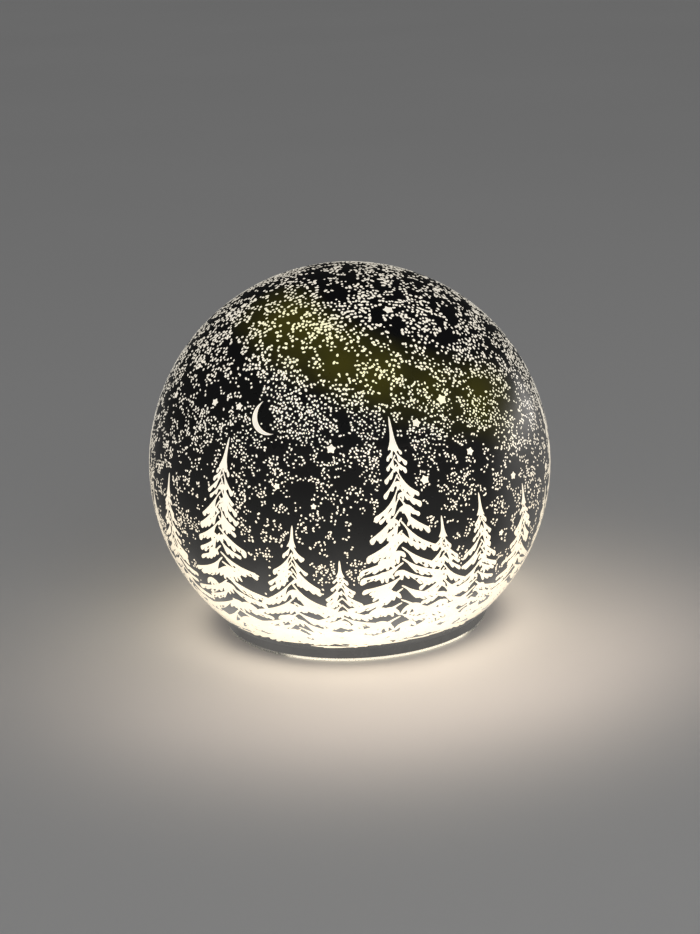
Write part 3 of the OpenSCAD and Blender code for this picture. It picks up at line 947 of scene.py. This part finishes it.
def dust_density(way):
    """How likely a dot is in a direction: broad drifts with clumps and dark gaps in them."""
    broad = noise.noise(way * 1.7 + Vector((3.1, 0.4, 7.7)))
    clumps = noise.noise(way * 6.5 + Vector((9.0, 2.0, 4.0)))
    fine = noise.noise(way * 21.0 + Vector((1.0, 5.0, 8.0)))
    return 0.27 + 0.25 * broad + 0.9 * clumps + 1.3 * fine + 0.20 * way.z


def dust_size(way):
    """How large a dot is in a direction, 1 near the top of the ball."""
    share = (way.z - DUST_SMALL_BELOW) / (DUST_FULL_ABOVE - DUST_SMALL_BELOW)
    return DUST_SMALL + (1 - DUST_SMALL) * min(1.0, max(0.0, share))


def near_moon(way, margin_mm):
    """True on the crescent or within a margin of it."""
    lon, lat = MOON_LON_DEG, MOON_LAT_DEG
    offset = (way - direction(lon, lat)) * BALL_R_MM
    east = Vector((math.cos(math.radians(lon)), math.sin(math.radians(lon)), 0))
    north = direction(lon, lat).cross(east)
    spot = Vector((offset.dot(east), offset.dot(north)))
    inside = spot.length < MOON_R_MM + margin_mm
    bitten = (spot - MOON_BITE_SHIFT_MM).length < MOON_BITE_R_MM - margin_mm
    return inside and not bitten and way.dot(direction(lon, lat)) > 0


def dust_cell(spot):
    """The cell of a coarse grid that a dot falls in, which makes its neighbours quick to find."""
    return tuple(int(value // DUST_SPACING_MM) for value in spot)


def crowded(taken, spot, spacing):
    """True where a dot in this cell or one beside it is nearer than the spacing."""
    x, y, z = dust_cell(spot)
    return any(
        (other - spot).length < spacing
        for dx in (-1, 0, 1) for dy in (-1, 0, 1) for dz in (-1, 0, 1)
        for other in taken.get((x + dx, y + dy, z + dz), ())
    )


def star_dust(stars):
    """Thousands of dots of light over the sky, clear of the trees, moon and stars."""
    rng = random.Random(11)
    keep_off = [
        (direction(lon, lat), (radius + DUST_CLEAR_MM["star"]) / BALL_R_MM)
        for lon, lat, radius in stars
    ]
    taken = {}
    halves = {"star_dust_high": bmesh.new(), "star_dust_low": bmesh.new()}
    low = math.sin(math.radians(DUST_LOW_DEG))
    for _ in range(DUST_TRIES):
        z = rng.uniform(low, 1.0)
        lon = rng.uniform(-180, 180)
        lat = math.degrees(math.asin(z))
        way = direction(lon, lat)
        if rng.random() * DUST_RARITY > dust_density(way):
            continue
        size = dust_size(way)
        spacing = DUST_SPACING_MM * size * rng.uniform(*DUST_SPACING_VARIES)
        spot = way * BALL_R_MM
        if crowded(taken, spot, spacing):
            continue
        if any((centre - way).length < reach for centre, reach in keep_off):
            continue
        if near_moon(way, DUST_CLEAR_MM["moon"]) or in_wood(lon, lat, DUST_CLEAR_MM["tree"]):
            continue
        taken.setdefault(dust_cell(spot), []).append(spot)
        half = "star_dust_high" if z > DUST_SPLIT else "star_dust_low"
        add_dot(halves[half], rng, way, size)
    for name, mesh in halves.items():
        deepen(mesh)
        data = bpy.data.meshes.new(name)
        mesh.to_mesh(data)
        mesh.free()
        etched_piece(name, data)


def add_dot(mesh, rng, way, size):
    """One rounded dot, a little long one way, in the plane that touches the ball."""
    east = Vector((0, 0, 1)).cross(way).normalized()
    north = way.cross(east)
    radius = size * rng.uniform(*DUST_R_MM)
    longer = rng.uniform(*DUST_STRETCH)
    turn = rng.uniform(0, math.pi)
    corners = []
    for i in range(DUST_SIDES):
        angle = 2 * math.pi * i / DUST_SIDES
        along = radius * longer * math.cos(angle)
        across = radius * math.sin(angle)
        x = along * math.cos(turn) - across * math.sin(turn)
        y = along * math.sin(turn) + across * math.cos(turn)
        ray = (way * BALL_R_MM + east * x + north * y).normalized()
        corners.append(mesh.verts.new(BALL_C + ray * ((BALL_R_MM + TILE_TOP_MM) * MM)))
    mesh.faces.new(corners)


forest()
snow_drifts()
sky_pieces()

# ---------------------------------------------------------------- floor and light

FLOOR_R = 9.0
# Small lamps in a ring over the table make the pool of light round the ball. They stand
# in for the light that the etched shapes would really give.
GLOW_LAMPS = 12
GLOW_LAMP_W = 0.0128
GLOW_COLOUR = (1.0, 0.82, 0.68)
GLOW_LAMP_SIZE = (0.07, 0.07)
GLOW_RING_R = 1.3 * BALL_R
GLOW_RING_Z = 1.15 * BALL_R
GLOW_SPREAD_DEG = 98
# Share of its power that a lamp has behind the ball, and what the bright side adds
GLOW_SHARES = (0.02, 0.93)
RING_SHARES = (0.35, 0.65)
# Longitude at which the pool is brightest
GLOW_BRIGHT_LON_DEG = 18
# Strips of light close round the neck, under the swell of the ball
RING_STRIPS = 16
RING_STRIP_W = 0.0008
RING_STRIP_SIZE = (0.024, 0.008)
RING_R = 0.84 * BALL_R
RING_Z = 0.21 * BALL_R
# The room's light, and the share of it that shows in reflections
ROOM_GREY = 0.225
ROOM_IN_GLOSS = 0.14
# A low soft box behind on the right, which shows only as a sheen, and the main light
SHEEN_AT = (1.0, 0.55, 0.10)
SHEEN_SIZE = (0.8, 0.24)
SHEEN_W = 1.8
SHEEN_COLOUR = (1.0, 0.96, 0.92)
KEY_AT = (0.35, -0.9, 0.8)
KEY_SIZE = (0.8, 0.8)
KEY_W = 1.5
KEY_COLOUR = (1.0, 1.0, 1.0)


def pale_floor():
    """A plain matte table top."""
    shader = Shader("pale_floor")
    drift = shader.noise(1.5, detail=3.0)
    shader.set(
        Base_Color=shader.mix(drift, rgb(0.66, 0.66, 0.66), rgb(0.72, 0.72, 0.72)),
        Roughness=0.75,
    )
    bpy.ops.mesh.primitive_circle_add(vertices=96, radius=FLOOR_R, fill_type="NGON")
    floor = bpy.context.object
    floor.name = "floor"
    floor.data.materials.append(shader.material)


def soft_light(name, place, target, size, power, colour, shape="DISK"):
    """An area light that faces a target and that the camera doesn't see."""
    light = bpy.data.lights.new(name, "AREA")
    light.shape = shape
    light.size = size[0]
    light.size_y = size[1]
    light.energy = power
    light.color = colour
    lamp = bpy.data.objects.new(name, light)
    lamp.location = place
    lamp.rotation_euler = (Vector(target) - Vector(place)).to_track_quat("-Z", "Y").to_euler()
    lamp.visible_camera = False
    SCENE.collection.objects.link(lamp)
    return lamp


def bright_side(lon):
    """1 at the longitude where the table is brightest and 0 on the far side."""
    return 0.5 + 0.5 * math.cos(math.radians(lon - GLOW_BRIGHT_LON_DEG))


def down_light(name, lon, radius, height, size, power, shape="DISK"):
    """A lamp that looks straight down on the table, at a longitude round the ball."""
    under = direction(lon, 0) * radius
    place = under + Vector((0, 0, height))
    lamp = soft_light(name, place, under, size, power, GLOW_COLOUR, shape)
    lamp.visible_glossy = False
    return lamp


def glow_on_table():
    """The warm pool of light round the ball, strongest in front and to the right."""
    for i in range(GLOW_LAMPS):
        lon = 360 * i / GLOW_LAMPS
        power = GLOW_LAMP_W * (GLOW_SHARES[0] + GLOW_SHARES[1] * bright_side(lon) ** 3)
        lamp = down_light(f"glow_{i}", lon, GLOW_RING_R, GLOW_RING_Z, GLOW_LAMP_SIZE, power)
        lamp.data.spread = math.radians(GLOW_SPREAD_DEG)
    for i in range(RING_STRIPS):
        lon = 360 * i / RING_STRIPS
        power = RING_STRIP_W * (RING_SHARES[0] + RING_SHARES[1] * bright_side(lon))
        strip = down_light(f"ring_{i}", lon, RING_R, RING_Z, RING_STRIP_SIZE, power, "RECTANGLE")
        strip.rotation_euler.z = math.radians(lon)


def studio():
    """An even grey room, a soft box in front and one low on the right for the sheen."""
    world = bpy.data.worlds.new("studio")
    world.use_nodes = True
    background = world.node_tree.nodes["Background"]
    background.inputs["Color"].default_value = rgb(ROOM_GREY, ROOM_GREY, ROOM_GREY)
    # The room above is darker in reflections than the soft light that it gives
    ray = world.node_tree.nodes.new("ShaderNodeLightPath")
    strength = world.node_tree.nodes.new("ShaderNodeMapRange")
    strength.inputs["To Min"].default_value = 1.0
    strength.inputs["To Max"].default_value = ROOM_IN_GLOSS
    world.node_tree.links.new(ray.outputs["Is Glossy Ray"], strength.inputs["Value"])
    world.node_tree.links.new(strength.outputs["Result"], background.inputs["Strength"])
    SCENE.world = world
    SCENE.view_settings.view_transform = "Standard"
    sheen = soft_light("right_box", SHEEN_AT, BALL_C, SHEEN_SIZE, SHEEN_W, SHEEN_COLOUR, "RECTANGLE")
    sheen.visible_diffuse = False
    key = soft_light("front_box", KEY_AT, (0, 0, 0), KEY_SIZE, KEY_W, KEY_COLOUR)
    key.visible_glossy = False


pale_floor()
glow_on_table()
studio()
